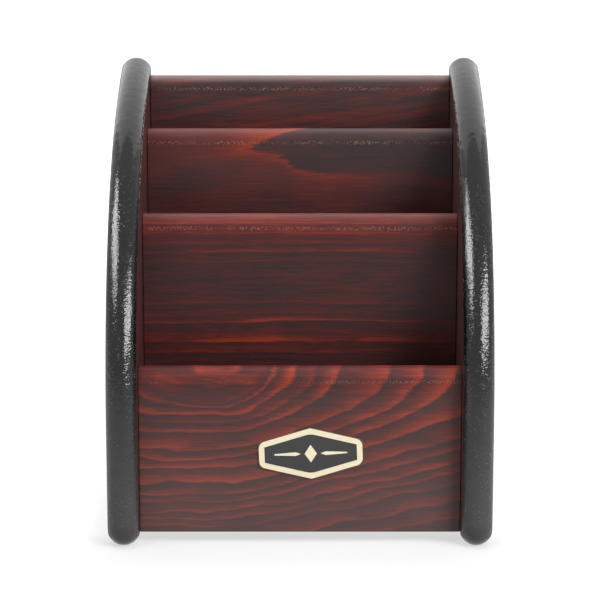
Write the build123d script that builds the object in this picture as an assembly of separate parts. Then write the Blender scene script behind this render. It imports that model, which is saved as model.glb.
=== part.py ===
from build123d import *

import math
import os

# Stepped wooden pen holder. Two side boards with a curved front carry a front panel,
# two partitions, a back panel and a bottom board, which leaves three pockets between them.
# X runs across the holder, Y from front to back and Z up. The origin is on the table,
# at the middle of the footprint. All sizes are in millimetres.

# Pockets and boards
pocket_length = 99.0
front_pocket = 22.0
middle_pocket = 20.5
rear_pocket = 12.2
side_thickness = 9.5
panel_thickness = 7.5
bottom_thickness = 7.5
floor_gap = 3.25

# Outline of a side board: the flat face inside the crowned edge. Its front rises straight,
# turns back on an arc, and runs on to the rear on a flatter arc.
curve_start_height = 36.9
lower_curve_radius = 98.5
lower_curve_turn = 61.0
upper_curve_radius = 167.5
front_corner_radius = 4.5
rear_corner_radius = 1.8
front_setback = 5.0
rear_setback = 0.0

# Crowned edge that runs all round a side board, ground flat where the board stands
crown_height = 3.1
crown_shoulder_radius = 1.3
crown_root = 1.0
sole_depth = 0.35

# How far the top of each cross board stays below the curve of the side boards
front_drop = 22.3
middle_drop = 17.5
rear_drop = 10.2
back_drop = 2.1

# Worked edges of the cross boards
top_round = 3.5
foot_round = 0.6
end_easing = 0.4

# Blind dowels between the cross boards and the side boards
dowel_diameter = 4.0
dowel_length = 14.0
dowel_chamfer = 0.5
dowel_fit = 0.05
dowel_end_play = 0.5
dowel_depth_in_side = 6.0
dowel_edge_distance = 13.0
front_dowel_count = 2
middle_dowel_count = 2
rear_dowel_count = 3
back_dowel_count = 3
bottom_dowel_count = 2

# Blank label plate on the front panel
label_width = 32.1
label_height = 16.4
label_side_height = 7.8
label_thickness = 0.4
label_corner_radius = 1.2
label_peak_radius = 5.0
label_tilt = 2.0
label_offset = 3.3
label_height_on_panel = 25.3

# Places that follow from the sizes above
inner_face_x = pocket_length / 2
core_depth = (
    front_setback + 4 * panel_thickness + front_pocket + middle_pocket + rear_pocket + rear_setback
)
core_front = -core_depth / 2
core_rear = core_depth / 2
core_bottom = crown_height - sole_depth

lower_centre_y = core_front + lower_curve_radius
lower_centre_z = curve_start_height
join_angle = math.radians(lower_curve_turn)
curve_join_y = lower_centre_y - lower_curve_radius * math.cos(join_angle)
curve_join_z = lower_centre_z + lower_curve_radius * math.sin(join_angle)
upper_centre_y = curve_join_y + upper_curve_radius * math.cos(join_angle)
upper_centre_z = curve_join_z - upper_curve_radius * math.sin(join_angle)

front_face_y = core_front + front_setback
middle_face_y = front_face_y + panel_thickness + front_pocket
rear_face_y = middle_face_y + panel_thickness + middle_pocket
back_face_y = rear_face_y + panel_thickness + rear_pocket
bottom_top_z = floor_gap + bottom_thickness
dowel_depth_in_board = dowel_length + 2 * dowel_end_play - dowel_depth_in_side


def curve_height(y):
    """Height of the side board's flat face at depth y, on the curved front."""
    if y < curve_join_y:
        return lower_centre_z + math.sqrt(lower_curve_radius**2 - (lower_centre_y - y) ** 2)
    return upper_centre_z + math.sqrt(upper_curve_radius**2 - (upper_centre_y - y) ** 2)


def board_top(face_y, drop):
    """Top of a cross board whose front face is at face_y."""
    return curve_height(face_y + panel_thickness / 2) - drop


front_top_z = board_top(front_face_y, front_drop)
middle_top_z = board_top(middle_face_y, middle_drop)
rear_top_z = board_top(rear_face_y, rear_drop)
back_top_z = board_top(back_face_y, back_drop)


def side_outline():
    """Flat face of a side board, drawn in the YZ plane."""
    front_foot = (core_front, core_bottom)
    curve_start = (core_front, curve_start_height)
    curve_join = (curve_join_y, curve_join_z)
    curve_end = (core_rear, curve_height(core_rear))
    with BuildSketch(Plane.YZ) as face:
        with BuildLine():
            lower_curve = TangentArc(curve_start, curve_join, tangent=(0, 1))
            TangentArc(curve_join, curve_end, tangent=lower_curve % 1)
            Polyline(curve_end, (core_rear, core_bottom), front_foot, curve_start)
        make_face()
        fillet(face.vertices().sort_by_distance(front_foot)[0], front_corner_radius)
        fillet(face.vertices().group_by(Axis.X)[-1], rear_corner_radius)
    return face.sketch.faces()[0]


def crown_section(start, along, middle):
    """Section of the crowned edge at a point of the outline, its crown turned away from the middle."""
    outward = along.cross(Vector(1, 0, 0))
    facing = along if outward.dot(start - middle) > 0 else along * -1
    half = side_thickness / 2
    with BuildSketch(Plane(origin=start, x_dir=(1, 0, 0), z_dir=facing)) as section:
        with BuildLine():
            Polyline((-half, 0), (-half, -crown_root), (half, -crown_root), (half, 0))
            ThreePointArc((half, 0), (0, crown_height), (-half, 0))
        make_face()
        fillet(section.vertices().group_by(Axis.Y)[-1], crown_shoulder_radius)
    return section.sketch.faces()[0]


def crown_run(edge, middle):
    """The crowned edge along one line or arc of the outline."""
    start = edge @ 0
    section = crown_section(start, edge % 0, middle)
    if edge.geom_type == GeomType.LINE:
        return extrude(section, edge.length, dir=edge % 0)
    centre = edge.arc_center
    turn = (start - centre).cross((edge @ 1) - centre)
    return revolve(section, Axis(centre, turn), math.degrees(edge.length / edge.radius))


def dowel_stations(low, high, count):
    """Evenly spread places between two ends, each end kept clear by the dowel's edge distance."""
    first = low + dowel_edge_distance
    last = high - dowel_edge_distance
    return [first + (last - first) * index / (count - 1) for index in range(count)]


def board_dowels(face_y, low_z, high_z, count):
    """Dowel centres, as depth and height, in the end of an upright board."""
    y = face_y + panel_thickness / 2
    return [(y, z) for z in dowel_stations(low_z, high_z, count)]


dowels = {
    "front": board_dowels(front_face_y, floor_gap, front_top_z, front_dowel_count),
    "middle": board_dowels(middle_face_y, bottom_top_z, middle_top_z, middle_dowel_count),
    "rear": board_dowels(rear_face_y, bottom_top_z, rear_top_z, rear_dowel_count),
    "back": board_dowels(back_face_y, floor_gap, back_top_z, back_dowel_count),
    "bottom": [
        (y, floor_gap + bottom_thickness / 2)
        for y in dowel_stations(front_face_y + panel_thickness, back_face_y, bottom_dowel_count)
    ],
}


def dowel_holes(places, mouth_x, direction, depth):
    """Blind holes along X, each with its mouth at mouth_x."""
    drill = Circle(dowel_diameter / 2 + dowel_fit)
    mouths = [Plane(origin=(mouth_x, y, z), z_dir=(direction, 0, 0)) for y, z in places]
    return [extrude(mouth * drill, depth) for mouth in mouths]


def side_panel(side):
    """A side board: flat core, crowned edge, flat sole and blind holes in its inner face."""
    face = side_outline()
    board = extrude(offset(face, -crown_root), side_thickness / 2, both=True)
    board += [crown_run(edge, face.center()) for edge in face.outer_wire().edges()]
    below_table = Align.CENTER, Align.CENTER, Align.MAX
    board -= Box(2 * side_thickness, 2 * core_depth, 2 * crown_height, align=below_table)
    board = Pos(side * (inner_face_x + side_thickness / 2), 0, 0) * board
    for places in dowels.values():
        board -= dowel_holes(places, side * inner_face_x, side, dowel_depth_in_side)
    return board


def cross_board(low_y, depth, low_z, height, top_radius, places):
    """A board across the holder, with worked edges and dowel holes in both ends."""
    with BuildSketch(Plane.YZ.offset(-inner_face_x)) as section:
        with Locations((low_y + depth / 2, low_z + height / 2)):
            Rectangle(depth, height)
        fillet(section.vertices().group_by(Axis.Y)[-1], top_radius)
        fillet(section.vertices().group_by(Axis.Y)[0], foot_round)
    board = extrude(section.sketch, pocket_length)
    board = fillet(board.faces().filter_by(Axis.X).edges(), end_easing)
    for side in (-1, 1):
        board -= dowel_holes(places, side * inner_face_x, -side, dowel_depth_in_board)
    return board


def dowel_set(places, side):
    """The dowels that join one end of a cross board to a side board."""
    pin = Cylinder(dowel_diameter / 2, dowel_length, rotation=(0, 90, 0))
    pin = chamfer(pin.edges().filter_by(GeomType.CIRCLE), dowel_chamfer)
    centre_x = side * (inner_face_x + dowel_depth_in_side - dowel_end_play - dowel_length / 2)
    return Compound(children=[Pos(centre_x, y, z) * pin for y, z in places])


def label_plate():
    """Thin six-sided plate on the front panel, longer than it is high, with rounded corners."""
    half_width = label_width / 2
    half_side = label_side_height / 2
    tilt = math.radians(label_tilt)
    centre = (label_offset, front_face_y, floor_gap + label_height_on_panel)
    front = Plane(origin=centre, x_dir=(math.cos(tilt), 0, math.sin(tilt)), z_dir=(0, -1, 0))
    with BuildSketch(front) as outline:
        with BuildLine():
            Polyline(
                (-half_width, -half_side),
                (-half_width, half_side),
                (0, label_height / 2),
                (half_width, half_side),
                (half_width, -half_side),
                (0, -label_height / 2),
                close=True,
            )
        make_face()
        columns = outline.vertices().group_by(Axis.X)
        fillet(columns[0] + columns[-1], label_corner_radius)
        peaks = outline.vertices().filter_by_position(Axis.X, -0.01, 0.01)
        fillet(peaks, label_peak_radius)
    return extrude(outline.sketch, label_thickness)


def save(name, shape):
    """One file for each piece, or for each set of like pieces."""
    export_step(shape, f"parts/{name}.step")


os.makedirs("parts", exist_ok=True)

for side_name, side in (("left", -1), ("right", 1)):
    save(f"{side_name}_side_panel", side_panel(side))
    for row, places in dowels.items():
        save(f"{side_name}_{row}_dowels", dowel_set(places, side))

upright_boards = {
    "front_panel": (front_face_y, floor_gap, front_top_z, dowels["front"]),
    "middle_partition": (middle_face_y, bottom_top_z, middle_top_z, dowels["middle"]),
    "rear_partition": (rear_face_y, bottom_top_z, rear_top_z, dowels["rear"]),
    "back_panel": (back_face_y, floor_gap, back_top_z, dowels["back"]),
}
for name, (face_y, low_z, top_z, places) in upright_boards.items():
    save(name, cross_board(face_y, panel_thickness, low_z, top_z - low_z, top_round, places))

bottom_front_y = front_face_y + panel_thickness
bottom_depth = back_face_y - bottom_front_y
bottom_board = cross_board(
    bottom_front_y, bottom_depth, floor_gap, bottom_thickness, foot_round, dowels["bottom"]
)
save("bottom_board", bottom_board)
save("label_plate", label_plate())
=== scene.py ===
import math

import bmesh
import bpy
from mathutils import Matrix, Vector


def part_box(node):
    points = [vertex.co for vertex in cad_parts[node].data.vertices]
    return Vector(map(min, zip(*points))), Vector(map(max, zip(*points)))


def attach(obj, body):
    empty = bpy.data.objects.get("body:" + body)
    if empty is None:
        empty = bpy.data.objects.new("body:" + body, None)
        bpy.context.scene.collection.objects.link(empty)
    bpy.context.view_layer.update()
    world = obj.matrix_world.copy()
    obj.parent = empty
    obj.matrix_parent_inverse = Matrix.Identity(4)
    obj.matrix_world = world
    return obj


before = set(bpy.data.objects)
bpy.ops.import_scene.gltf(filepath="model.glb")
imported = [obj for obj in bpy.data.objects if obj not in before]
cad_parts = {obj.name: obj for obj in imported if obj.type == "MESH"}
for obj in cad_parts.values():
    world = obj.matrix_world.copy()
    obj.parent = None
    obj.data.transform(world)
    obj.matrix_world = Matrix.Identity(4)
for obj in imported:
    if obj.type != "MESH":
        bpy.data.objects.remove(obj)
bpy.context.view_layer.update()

# Lengths in the materials and on the label are in millimetres, places in the scene in metres
mm = 0.001

# Camera: straight at the front of the holder and a little above it
camera_drop = math.radians(12)
camera_place = (0, -0.72465, 0.22214)
lens_mm = 138.95
sensor_mm = 36

# Light: the world's share of it, and the point that the lamps face
ambient = 0.1
lamp_target = Vector((0, 0, 0.07))

# Floor: its own grey, its glow at the holder's foot, and the footprint round which the glow grows.
# A step beside the footprint counts as five in front of it.
floor_grey = 0.28
floor_glow = 0.68
footprint_half_width = 57
footprint_half_depth = 45
beside_weight = 5

# Side boards: outline of their flat faces, and the distance of their middles from the centre
crown_height = 3.1
curve_start_height = 36.9
lower_curve_radius = 98.5
lower_curve_turn = math.radians(61)
upper_curve_radius = 167.5
side_board_middle = 54.25

# Growth rings: how far from the heart each one ends, and how bright it is there. The front panel's
# are in two lists, because a colour ramp holds at most 32 stops and each ring takes two.
front_inner_rings = (
    (2.6, 0.8), (6.9, 0.35), (8.4, 0.85), (11.7, 1.0), (15.3, 0.55),
    (19.8, 0.9), (28.9, 0.85), (35.5, 0.9), (41.5, 1.0),
)
front_outer_rings = (
    (51.5, 1.0), (61.5, 0.9), (68.5, 0.8), (77.5, 0.9),
    (84.3, 0.85), (92.0, 0.7), (107.0, 0.85), (123.0, 0.7),
)
middle_rings = (
    (2.5, 0.7), (5.6, 0.75), (9.0, 0.6), (11.7, 0.9), (14.9, 0.5),
    (19.4, 0.35), (24.0, 0.3), (28.0, 0.55), (31.4, 0.6), (33.9, 1.0),
    (40.4, 0.95), (44.0, 0.7), (48.0, 0.4), (60.0, 0.6), (75.0, 0.6),
)

# Figure of two boards, from the middle and from the top: the heart of the front panel's eye, and the
# two tips of the rear partition's flame
eye_x = -27.2
eye_drop = 6.4
upper_tip_x = -15.8
lower_tip_x = -6.0

# Line of specks below the top of each cross board
speck_drop = 4.1
speck_size = 0.38

# Label: a dark field with a small ornament, on the cream plate
label_tilt = math.radians(2)
plate_half_width = 16.05
plate_peak = 8.2
plate_side = 3.9
plate_corner = 1.9
field_half_width = 14.15
field_peak = 6.23
field_side = 2.44
field_corner = 1.2
lozenge_half_width = 1.9
lozenge_half_height = 2.8
bar_start = 3.0
bar_shoulder = 4.6
bar_end = 11.2
bar_half_height = 0.6
bar_end_half_height = 0.2
paint_thickness = 0.06
softened_edge = 0.02

# Colours: red-brown stain on softwood, black lacquer, cream and dark enamel, and bare wood. Each list
# of tones gives colours with their places from 0 to 1.
stain_dark = (0.022, 0.0105, 0.0105)
stain_middle = (0.082, 0.0125, 0.0112)
stain_bright = (0.255, 0.0300, 0.0115)
stain_tones = ((0.0, stain_dark), (0.4, stain_middle), (1.0, stain_bright))
# Pale grey laid over the stain: painted sheen on the rounded tops and painted light low on the front panel
painted_light_grey = (0.35, 0.31, 0.30)
pale_speck = (0.58, 0.36, 0.31)
clean_lacquer = (0.0060, 0.0062, 0.0070)
# Grey blended into the lacquer low on the side boards: painted reflection of the floor
painted_floor_reflection = (0.048, 0.048, 0.051)
chipped_lacquer = (0.42, 0.33, 0.28)
cream_tones = ((0.3, (0.88, 0.78, 0.53)), (0.7, (0.94, 0.86, 0.62)))
# Brown line along the edge of the cream plate: painted shadow
painted_edge_shadow = (0.09, 0.055, 0.03)
dark_tones = ((0.3, (0.010, 0.010, 0.011)), (0.7, (0.018, 0.018, 0.020)))
dowel_tones = ((0.3, (0.52, 0.36, 0.20)), (0.7, (0.70, 0.53, 0.33)))

# Gloss: how rough each finish is, and the lacquer's index of refraction
stain_roughness = 0.42
lacquer_roughness = 0.05
enamel_roughness = 0.35
bare_wood_roughness = 0.7
floor_roughness = 0.8
lacquer_ior = 1.41


class Field:
    """A number that varies over a surface, made by a material's math nodes."""

    def __init__(self, tree, socket):
        self.tree = tree
        self.socket = socket

    def math(self, operation, *others):
        node = self.tree.nodes.new("ShaderNodeMath")
        node.operation = operation
        for socket, value in zip(node.inputs, (self, *others)):
            plug(self.tree, socket, value)
        return Field(self.tree, node.outputs[0])

    def __add__(self, other):
        return self.math("ADD", other)

    def __sub__(self, other):
        return self.math("SUBTRACT", other)

    def __rsub__(self, other):
        return self * -1 + other

    def __mul__(self, other):
        return self.math("MULTIPLY", other)

    def __truediv__(self, other):
        return self.math("DIVIDE", other)

    def size(self):
        return self.math("ABSOLUTE")

    def power(self, exponent):
        return self.math("POWER", exponent)

    def exponential(self):
        return self.math("EXPONENT")

    def at_least(self, other):
        return self.math("MAXIMUM", other)

    def at_most(self, other):
        return self.math("MINIMUM", other)

    def length_with(self, other):
        """Length of the vector whose two parts are this field and another."""
        return (self * self + other * other).math("SQRT")

    def step(self, low, high):
        """0 below low, 1 above high and a smooth rise between them."""
        node = self.tree.nodes.new("ShaderNodeMapRange")
        node.interpolation_type = "SMOOTHSTEP"
        plug(self.tree, node.inputs["Value"], self)
        node.inputs["From Min"].default_value = low
        node.inputs["From Max"].default_value = high
        return Field(self.tree, node.outputs[0])

    def fall(self, low, high):
        """1 below low, 0 above high and a smooth fall between them."""
        return (self * -1).step(-high, -low)

    def band(self, centre, half, soft):
        """1 within half of the centre, fading to 0 over the soft length on each side."""
        return (self - centre).size().fall(half, half + soft)

    def choose(self, one, zero):
        """One value where this field is 1, the other where it is 0."""
        return self * one + (1 - self) * zero


def plug(tree, socket, value):
    """Links a field or another socket to an input, or sets a plain value on it."""
    if isinstance(value, Field):
        tree.links.new(value.socket, socket)
    elif isinstance(value, bpy.types.NodeSocket):
        tree.links.new(value, socket)
    else:
        socket.default_value = value


class Paint:
    """A material's nodes, with the place on the part in millimetres as the fields x, y and z."""

    def __init__(self, name):
        self.material = bpy.data.materials.new(name)
        self.material.use_nodes = True
        self.tree = self.material.node_tree
        self.shader = self.tree.nodes["Principled BSDF"]
        place = self.tree.nodes.new("ShaderNodeTexCoord").outputs["Object"]
        parts = self.tree.nodes.new("ShaderNodeSeparateXYZ")
        self.tree.links.new(place, parts.inputs[0])
        self.x, self.y, self.z = (Field(self.tree, out) / mm for out in parts.outputs)

    def noise(self, x, y, z, detail=2.0, roughness=0.5):
        """Noise from 0 to 1, mostly near 0.5, with blobs about one unit of x, y and z in size."""
        place = self.tree.nodes.new("ShaderNodeCombineXYZ")
        for socket, value in zip(place.inputs, (x, y, z)):
            plug(self.tree, socket, value)
        node = self.tree.nodes.new("ShaderNodeTexNoise")
        self.tree.links.new(place.outputs[0], node.inputs["Vector"])
        node.inputs["Scale"].default_value = 1
        node.inputs["Detail"].default_value = detail
        node.inputs["Roughness"].default_value = roughness
        return Field(self.tree, node.outputs[0])

    def grain(self, size, detail=2.0, roughness=0.5):
        """Noise with round blobs of one size in millimetres."""
        return self.noise(self.x / size, self.y / size, self.z / size, detail, roughness)

    def ramp(self, value, stops):
        """Colour that follows a field, with stops given as (place, colour)."""
        node = self.tree.nodes.new("ShaderNodeValToRGB")
        plug(self.tree, node.inputs[0], value)
        ends = node.color_ramp.elements
        while len(ends) < len(stops):
            ends.new(1)
        for end, (place, colour) in zip(ends, stops):
            end.position = place
            end.color = (*colour, 1)
        return node.outputs[0]

    def blend(self, amount, zero, one):
        """One colour that turns into another as an amount goes from 0 to 1."""
        node = self.tree.nodes.new("ShaderNodeMix")
        node.data_type = "RGBA"
        plug(self.tree, node.inputs["Factor"], amount)
        colours = [socket for socket in node.inputs if socket.type == "RGBA"]
        for socket, value in zip(colours, (zero, one)):
            plug(self.tree, socket, value if isinstance(value, bpy.types.NodeSocket) else (*value, 1))
        return [socket for socket in node.outputs if socket.type == "RGBA"][0]

    def relief(self, height, depth):
        """Bump from a field of heights; depth in millimetres is what one unit of height stands for."""
        node = self.tree.nodes.new("ShaderNodeBump")
        node.inputs["Distance"].default_value = depth * mm
        plug(self.tree, node.inputs["Height"], height)
        return node.outputs[0]

    def finish(self, colour, roughness, normal=None, **constants):
        """Sets the shader: colour, roughness and normal, and constants such as IOR."""
        plug(self.tree, self.shader.inputs["Base Color"], colour)
        plug(self.tree, self.shader.inputs["Roughness"], roughness)
        if normal is not None:
            plug(self.tree, self.shader.inputs["Normal"], normal)
        for name, value in constants.items():
            self.shader.inputs[name.replace("_", " ")].default_value = value
        return self.material


def growth_rings(paint, distance, rings, sharpness, start=0.0, softness=0.1):
    """Tone of wood whose rings end at given distances: each brightens slowly and drops back at once.

    The first ring begins at start. The greater the sharpness, the longer a ring stays dark before
    it brightens; softness is the length in millimetres over which it drops back.
    """
    reach = rings[-1][0] + 1
    brightest_before_end = 0.3
    stops = [(start / reach, (0.0, 0.0, 0.0))]
    for end, tone in rings:
        stops.append(((end - brightest_before_end) / reach, (tone, tone, tone)))
        stops.append(((end + softness) / reach, (0.0, 0.0, 0.0)))
    return Field(paint.tree, paint.ramp(distance / reach, stops)).power(sharpness)


class Board(Paint):
    """Paint of a board that lies across the holder, with its grain along X.

    drop is the distance below the board's top. across is the same on the front and goes on below 0
    over the rounded top, so that the figure does so too.
    """

    def __init__(self, node):
        super().__init__(node + "_stain")
        low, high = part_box(node)
        self.drop = high[2] / mm - self.z
        behind_front = self.y - low[1] / mm
        self.across = self.drop - behind_front
        # Added to the tone of the cross boards, near_top makes them brighter close to their tops: painted
        # light
        self.near_top = self.drop.fall(2, 11)

    def fibres(self, length, width, seed, detail=3.0):
        """Fine noise drawn out along the grain."""
        return self.noise(self.x / length, self.across / width, seed, detail, roughness=0.6)

    def patches(self, length, width, seed):
        """Soft noise drawn out along the grain."""
        return self.noise(self.x / length, self.across / width, seed)

    def stained(self, tone, seed, line_strength, specular, top_sheen=0.0, fibre=1.0, painted_floor_light=0.0):
        """The finished material: stain of a given tone, fine fibres and a line of specks below the top.

        The last three arguments are how much painted sheen, a pale grey, lies along the rounded top, how
        strongly the fibres show, and how much of the same pale grey lies over the face as painted light.
        """
        streaks = self.fibres(length=22, width=1.1, seed=seed + 20, detail=4) - 0.5
        hairs = self.fibres(length=6, width=0.34, seed=seed + 30) - 0.5
        clouds = self.patches(length=26, width=9, seed=seed + 40) - 0.5
        # On the rounded top the tone is raised and turned towards the pale grey: painted light and painted
        # sheen
        top = self.drop.fall(0.4, 2.4)
        tone = tone + top * 0.08 + (streaks * 0.7 + hairs * 0.8) * fibre + clouds * 0.45
        colour = self.blend(top * top_sheen + painted_floor_light, self.ramp(tone, stain_tones), painted_light_grey)
        line = self.drop.band(speck_drop, half=0.25, soft=0.6)
        specks = self.grain(speck_size, detail=0).step(0.54, 0.66)
        stretches = self.noise(self.x / 14, seed, 0.0).step(0.3, 0.56)
        colour = self.blend(line * specks * stretches * line_strength * 0.32, colour, pale_speck)
        normal = self.relief(hairs + streaks, depth=0.035)
        roughness = streaks * 0.2 + stain_roughness
        return self.finish(colour, roughness, normal, Specular_IOR_Level=specular)


def front_wood():
    """Rings that hang below an eye near the top left and climb to the top edge on the right."""
    board = Board("front_panel")
    fuzz = (board.fibres(length=6, width=0.5, seed=1.0) - 0.5) * 3
    beside_eye = board.x - eye_x + fuzz
    under_eye = board.across - eye_drop

    # Depth below the eye, which turns smoothly to 0 above it
    turn = 6.0
    below = (under_eye + under_eye.length_with(turn)) * 0.5

    # Right of the eye the rings climb steadily, after a soft start
    climb_start = 3
    climb_slope = 0.62
    climb_softness = 5.0
    rise = (beside_eye - climb_start).at_least(0.0) * climb_slope
    climb = rise.length_with(climb_softness) - climb_softness

    # Left of the eye they close round it, and less so the deeper they lie
    closing = beside_eye.at_most(0.0).length_with(2.0) * 0.29 / (below * below / 30 + 1)
    sway = (board.patches(length=18, width=8, seed=2.0) - 0.5) * (below * 0.3 + 2.4)
    distance = below + below * below / 40 + climb + closing + sway
    inner_end = front_inner_rings[-1][0]
    inner = growth_rings(board, distance, front_inner_rings, sharpness=1.25, softness=0.5)
    outer = growth_rings(board, distance, front_outer_rings, sharpness=1.25, start=inner_end, softness=0.8)
    heart = board.across.band(3.0, half=1.2, soft=1.4) * distance.fall(5.2, 6.8)
    rings = inner.at_least(outer).at_least(heart * 0.55)

    breaks = board.patches(length=18, width=4, seed=8.0).step(0.32, 0.62) * 0.45 + 0.55
    contrast = 1.07 - board.drop.step(20, 46) * 0.2
    top_shade = board.drop.step(-1.5, 3) * 0.4 + 0.6
    # near_top adds painted light below the top edge
    tone = rings * breaks * contrast * top_shade + board.near_top * 0.05 + 0.08
    line_strength = board.x.step(-5, 20) * 0.5 + 0.3
    # Paler grey over the lower part of the face: painted light from the floor
    painted_floor_light = board.drop.step(2, 12) * 0.05 + board.drop.step(12, 50) * 0.085
    return board.stained(tone, seed=1.0, line_strength=line_strength, specular=0.24, painted_floor_light=painted_floor_light)


def middle_wood():
    """Nearly straight rings, as on a board that is cut along the radius."""
    board = Board("middle_partition")
    sway = (board.patches(length=60, width=12, seed=5.0) - 0.5) * 2.0
    fuzz = (board.fibres(length=12, width=0.6, seed=6.0) - 0.5) * 1.5
    bow = board.x * board.x * -0.0003
    distance = board.across + bow + sway + fuzz
    breaks = board.patches(length=30, width=4, seed=7.0).step(0.3, 0.6) * 0.5 + 0.5
    # Darker towards the right end: painted shadow of the right side board
    painted_right_shadow = 1 - board.x.step(20, 42) * 0.55
    rings = growth_rings(board, distance, middle_rings, sharpness=2.1) * breaks * painted_right_shadow
    # near_top adds painted light on the upper part
    tone = rings * 0.85 + board.near_top * 0.3 + 0.1
    return board.stained(tone, seed=2.0, line_strength=0.9, specular=0.2, top_sheen=0.055)


def rear_wood():
    """A dark flame that opens to the right from two tips near the middle, with a bright rim."""
    board = Board("rear_partition")
    fuzz = (board.fibres(length=10, width=0.8, seed=11.0, detail=4) - 0.5) * 12
    past_upper_tip = board.x + fuzz - upper_tip_x
    past_lower_tip = board.x + fuzz - lower_tip_x

    # Each tongue is above 0 inside and below 0 outside, and lies between an upper and a lower edge
    upper_edge = board.across + past_upper_tip * 0.52 - 5.9
    upper_tongue = upper_edge.at_most(past_upper_tip * 0.15 + 6.3 - board.across)
    deepest = 14.0
    rounding = (past_lower_tip.at_least(0.0) / -4).exponential() * -5.5
    lower_edge = rounding + deepest - board.across
    lower_tongue = (board.across + past_lower_tip * 0.5 - 8.4).at_most(lower_edge)
    flame = upper_tongue.at_least(lower_tongue.at_most(past_lower_tip * 0.4))

    inside = flame.step(-0.9, 0.6)
    # The bright rim fades towards the right end: painted shadow of the right side board
    painted_right_shadow = 1 - board.x.step(0, 34) * 0.85
    glow = (flame / 3.8).exponential().at_most(1.0) * painted_right_shadow
    # near_top adds painted light on the upper part
    red = glow * 0.64 + board.near_top * 0.18 + 0.15
    tone = inside.choose(0.02, red)
    return board.stained(tone, seed=3.0, line_strength=0.8, specular=0.24, top_sheen=0.06, fibre=0.65)


def back_wood():
    """Narrow streaks that rise to the right."""
    board = Board("back_panel")
    slant = board.across + board.x * 0.17
    streaks = board.noise(board.x / 45, slant / 2.2, 12.0, detail=3, roughness=0.55)
    tone = streaks.step(0.36, 0.7) * 0.34 + 0.03
    return board.stained(tone, seed=4.0, line_strength=0.8, specular=0.24, top_sheen=0.27, fibre=0.8)


def bottom_wood():
    board = Board("bottom_board")
    streaks = board.noise(board.x / 50, board.y / 2.6, 14.0, detail=3)
    tone = streaks.step(0.35, 0.7) * 0.5
    return board.stained(tone, seed=5.0, line_strength=0.0, specular=0.18)


def side_outside(paint):
    """Distance in millimetres outside the flat face of a side board, less than 0 on the face."""
    low, high = (Vector(corner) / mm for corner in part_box("left_side_panel"))
    lower_y = low.y + crown_height + lower_curve_radius
    lower_z = curve_start_height
    turn_y, turn_z = math.cos(lower_curve_turn), math.sin(lower_curve_turn)
    apart = upper_curve_radius - lower_curve_radius
    upper_y = lower_y + apart * turn_y
    upper_z = lower_z - apart * turn_z
    forward = (paint.y - lower_y).at_most(0.0)
    upward = (paint.z - lower_z).at_least(0.0)
    lower = forward.length_with(upward) - lower_curve_radius
    upper = (paint.y - upper_y).length_with(paint.z - upper_z) - upper_curve_radius
    past_turn = ((paint.y - lower_y) * turn_z + (paint.z - lower_z) * turn_y).step(-0.01, 0.01)
    front = past_turn.choose(upper, lower)
    rear = paint.y - (high.y - crown_height)
    foot = low.z + crown_height - paint.z
    return front.at_least(rear).at_least(foot)


def lacquered_board(name, seed):
    """Side board: stained flat faces, and thick black lacquer on the crowned edge."""
    paint = Paint(name)
    outer = paint.x.size().step(side_board_middle - 0.05, side_board_middle + 0.05)
    waver = (paint.grain(2.4, detail=3) - 0.5) * 0.9
    lacquer_start = outer.choose(0.5, 0.2)
    edge = side_outside(paint) - lacquer_start + waver
    black = edge.step(-0.06, 0.06)

    # Colour: upright grain on the faces, darker on the inner ones as painted shade, a paler grey low on
    # the lacquer as painted reflection of the floor, and worn spots along its upper edge
    across = paint.y + paint.z * 0.1
    streaks = paint.noise(paint.z / 30, across / 1.6, paint.x / 4 + seed, detail=4, roughness=0.6) - 0.5
    hairs = paint.noise(paint.z / 6, across / 0.3, paint.x / 2 + seed, detail=3, roughness=0.6) - 0.5
    # The inner faces get a darker tone than the outer ones: painted shade of the pockets
    wood = paint.ramp(streaks * 0.8 + hairs * 0.5 + outer.choose(0.35, 0.14), stain_tones)
    lacquer = paint.blend(paint.z.step(5, 55), painted_floor_reflection, clean_lacquer)
    colour = paint.blend(black, wood, lacquer)
    worn = paint.grain(0.9, detail=3, roughness=0.6).step(0.5, 0.56) * paint.z.step(96, 112)
    chips = edge.band(0.05, half=0.16, soft=0.1) * worn
    colour = paint.blend(chips * 0.7, colour, chipped_lacquer)

    # Relief: orange peel, lumps and pits in the lacquer, which is smoother near the top
    near_top = paint.z.step(100, 120)
    peel = paint.grain(0.5, detail=0) - 0.5
    lumps = paint.grain(3.2, detail=1) - 0.5
    pits = paint.grain(0.8, detail=1).step(0.65, 0.72)
    skin = peel * (0.8 - near_top * 0.65) + lumps * 1.2 - pits * (1 - near_top) * 0.7
    normal = paint.relief(black.choose(skin, hairs * 0.3), depth=0.1)
    roughness = black.choose(lacquer_roughness, stain_roughness)
    return paint.finish(colour, roughness, normal, IOR=lacquer_ior)


def cream(name, inside=None):
    """Cream enamel. Where the distance inside an outline is given, a thin brown line of painted shadow
    follows it.
    """
    paint = Paint(name)
    colour = paint.ramp(paint.grain(0.5, detail=3), cream_tones)
    if inside is not None:
        colour = paint.blend(inside(paint).step(0.1, 0.26), painted_edge_shadow, colour)
    return paint.finish(colour, enamel_roughness)


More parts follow.
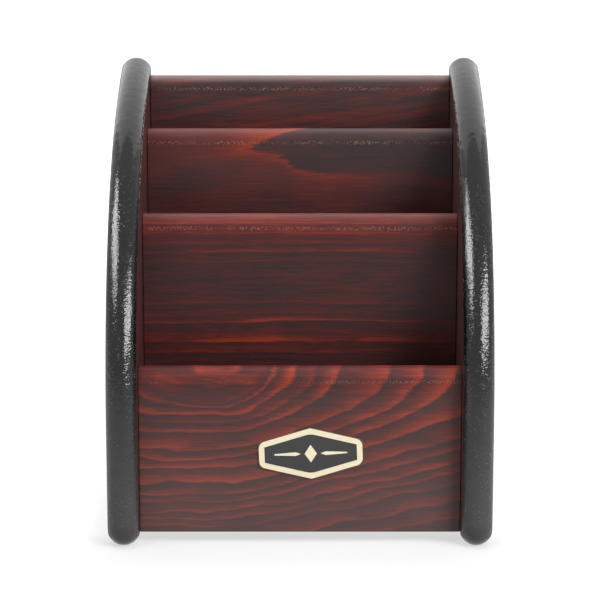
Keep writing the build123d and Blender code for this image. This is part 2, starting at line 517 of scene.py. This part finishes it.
def inside_plate(paint):
    """Distance in millimetres inside the outline of the label plate."""
    low, high = (Vector(corner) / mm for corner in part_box("label_plate"))
    centre = (low + high) / 2
    x, z = paint.x - centre.x, paint.z - centre.z
    turn_x, turn_z = math.cos(label_tilt), math.sin(label_tilt)
    along = (x * turn_x + z * turn_z).size()
    upward = (z * turn_x - x * turn_z).size()
    rise, run = plate_peak - plate_side, plate_half_width
    slope = math.hypot(rise, run)
    slanted = (along * rise + upward * run) * (-1 / slope) + plate_peak * run / slope
    upright = plate_half_width - along
    past_slanted = (plate_corner - slanted).at_least(0.0)
    past_upright = (plate_corner - upright).at_least(0.0)
    return plate_corner - past_slanted.length_with(past_upright)


def dark_enamel():
    paint = Paint("label_dark")
    specks = paint.grain(0.4, detail=3)
    colour = paint.ramp(specks, dark_tones)
    return paint.finish(colour, specks * 0.2 + enamel_roughness)


def raw_dowel():
    paint = Paint("raw_dowel")
    fibres = paint.noise(paint.x / 6, paint.y / 0.3, paint.z / 0.3, detail=3)
    colour = paint.ramp(fibres, dowel_tones)
    return paint.finish(colour, bare_wood_roughness, paint.relief(fibres, depth=0.05))


def dress(node, material):
    """Gives a CAD node its material."""
    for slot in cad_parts[node].material_slots:
        slot.material = material


def dress_nodes():
    dress("front_panel", front_wood())
    dress("middle_partition", middle_wood())
    dress("rear_partition", rear_wood())
    dress("back_panel", back_wood())
    dress("bottom_board", bottom_wood())
    dress("left_side_panel", lacquered_board("left_lacquer", seed=6.0))
    dress("right_side_panel", lacquered_board("right_lacquer", seed=9.0))
    dress("label_plate", cream("label_cream", inside_plate))
    dowel = raw_dowel()
    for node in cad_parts:
        if node.endswith("_dowels"):
            dress(node, dowel)


def raised_shape(name, corners, material, base, rounded=()):
    """A thin flat piece on the label, drawn in its plane, with a softened edge.

    corners are its points as (x, z), and rounded those of them that are rounded off.
    """
    mesh = bpy.data.meshes.new(name)
    shape = bmesh.new()
    shape.faces.new([shape.verts.new((x * mm, 0, z * mm)) for x, z in corners])
    for x, z in rounded:
        target = Vector((x, 0, z)) * mm
        corner = min(shape.verts, key=lambda vert: (vert.co - target).length)
        size = field_corner * mm
        bmesh.ops.bevel(shape, geom=[corner], offset=size, segments=6, affect="VERTICES", profile=0.5)
    raised = bmesh.ops.extrude_face_region(shape, geom=shape.faces[:])
    tops = [item for item in raised["geom"] if isinstance(item, bmesh.types.BMVert)]
    bmesh.ops.translate(shape, verts=tops, vec=(0, -paint_thickness * mm, 0))
    bmesh.ops.recalc_face_normals(shape, faces=shape.faces[:])
    shape.to_mesh(mesh)
    shape.free()
    piece = bpy.data.objects.new(name, mesh)
    bpy.context.collection.objects.link(piece)
    piece.matrix_world = base
    mesh.materials.append(material)
    soften = piece.modifiers.new("edge", "BEVEL")
    soften.width = softened_edge * mm
    soften.segments = 2
    soften.limit_method = "ANGLE"
    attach(piece, "root")


def label_ornament():
    """Dark field of the label, with a lozenge in its middle and a tapered bar on each side."""
    low, high = (Vector(corner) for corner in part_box("label_plate"))
    middle = (low + high) / 2
    turn = Matrix.Rotation(-label_tilt, 4, "Y")
    plate_front = Matrix.Translation((middle.x, low.y, middle.z)) @ turn
    field_front = Matrix.Translation((middle.x, low.y - paint_thickness * mm, middle.z)) @ turn
    peaks = [(0, field_peak), (0, -field_peak)]
    field = [
        peaks[0], (field_half_width, field_side), (field_half_width, -field_side),
        peaks[1], (-field_half_width, -field_side), (-field_half_width, field_side),
    ]
    raised_shape("label_field", field, dark_enamel(), plate_front, rounded=peaks)
    pale = cream("ornament_cream")
    lozenge = [
        (0, lozenge_half_height), (lozenge_half_width, 0),
        (0, -lozenge_half_height), (-lozenge_half_width, 0),
    ]
    raised_shape("label_lozenge", lozenge, pale, field_front)
    for name, side in (("left", -1), ("right", 1)):
        bar = [
            (side * bar_start, 0), (side * bar_shoulder, bar_half_height),
            (side * bar_end, bar_end_half_height), (side * bar_end, -bar_end_half_height),
            (side * bar_shoulder, -bar_half_height),
        ]
        raised_shape(f"label_{name}_bar", bar, pale, field_front)


def make_camera():
    data = bpy.data.cameras.new("camera")
    data.sensor_width = sensor_mm
    data.lens = lens_mm
    camera = bpy.data.objects.new("camera", data)
    bpy.context.collection.objects.link(camera)
    camera.location = camera_place
    camera.rotation_euler = (math.pi / 2 - camera_drop, 0, 0)
    bpy.context.scene.camera = camera


def background_rays(tree):
    """1 for rays that show the background: the camera's own, reflected and transmitted ones."""
    path = tree.nodes.new("ShaderNodeLightPath")
    names = ("Is Camera Ray", "Is Glossy Ray", "Is Transmission Ray")
    camera, glossy, through = (Field(tree, path.outputs[name]) for name in names)
    return camera.at_least(glossy).at_least(through)


def make_floor():
    """White floor that keeps the shadow near the holder and fades to plain white further out."""
    bpy.ops.mesh.primitive_plane_add(size=8, location=(0, 0, 0))
    floor = bpy.context.object
    floor.name = "floor"
    paint = Paint("floor_white")
    paint.finish((floor_grey, floor_grey, floor_grey, 1), floor_roughness, Specular_IOR_Level=0.1)
    beside = (paint.x.size() - footprint_half_width).at_least(0.0) * beside_weight
    ahead = (paint.y.size() - footprint_half_depth).at_least(0.0)
    away = beside.length_with(ahead)
    # The floor's glow is painted light that grows away from the footprint, so that the shadow fades into
    # white; front_shade is painted shade, less glow in front of the holder than under its front panel
    front_shade = ahead.step(0, 12) * 0.03 + paint.y.fall(-42, -28) * 0.09
    glow = away.step(10, 90) * 0.24 + away.step(80, 800) * 0.35 + floor_glow - front_shade
    paint.shader.inputs["Emission Color"].default_value = (1, 1, 1, 1)
    plug(paint.tree, paint.shader.inputs["Emission Strength"], background_rays(paint.tree) * glow)
    floor.data.materials.append(paint.material)


def make_world():
    """White to the camera and in reflections, and a soft even light on everything."""
    world = bpy.data.worlds.new("studio")
    world.use_nodes = True
    tree = world.node_tree
    background = tree.nodes["Background"]
    background.inputs["Color"].default_value = (1, 1, 1, 1)
    strength = background_rays(tree) * (1 - ambient) + ambient
    plug(tree, background.inputs["Strength"], strength)
    bpy.context.scene.world = world


def softbox(name, azimuth, elevation, distance, size, brightness, shine=False):
    """A lamp that faces the holder. Azimuth 0 is in front and 90 to the right; brightness 1 looks white.

    It either lights the holder or, where shine is set, shows only as a reflection in its surfaces.
    """
    azimuth, elevation = math.radians(azimuth), math.radians(elevation)
    level = math.cos(elevation)
    direction = Vector((math.sin(azimuth) * level, -math.cos(azimuth) * level, math.sin(elevation)))
    data = bpy.data.lights.new(name, "AREA")
    data.shape = "RECTANGLE"
    data.size, data.size_y = size
    data.energy = brightness * size[0] * size[1] * math.pi
    lamp = bpy.data.objects.new(name, data)
    bpy.context.collection.objects.link(lamp)
    lamp.location = lamp_target + direction * distance
    lamp.rotation_euler = direction.to_track_quat("Z", "Y").to_euler()
    lamp.visible_diffuse = not shine
    lamp.visible_glossy = shine


def make_lamps():
    """The lamps, each with its azimuth, elevation, distance, size and brightness."""
    softbox("key_lamp", 43, 32, 1.0, (0.45, 0.45), 14.5)
    softbox("fill_lamp", -45, 40, 1.0, (0.5, 0.5), 1.8)
    softbox("sky_lamp", 180, 88, 1.1, (1.6, 1.2), 3.0)
    softbox("right_shine", 46, 21, 1.0, (0.84, 0.34), 17.0, shine=True)
    softbox("left_shine", -70, 38, 1.0, (0.8, 0.42), 15.0, shine=True)
    softbox("crown_shine", 180, 43, 1.1, (1.9, 1.4), 0.85, shine=True)


dress_nodes()
label_ornament()
make_camera()
make_floor()
make_world()
make_lamps()

scene = bpy.context.scene
scene.view_settings.view_transform = "Standard"
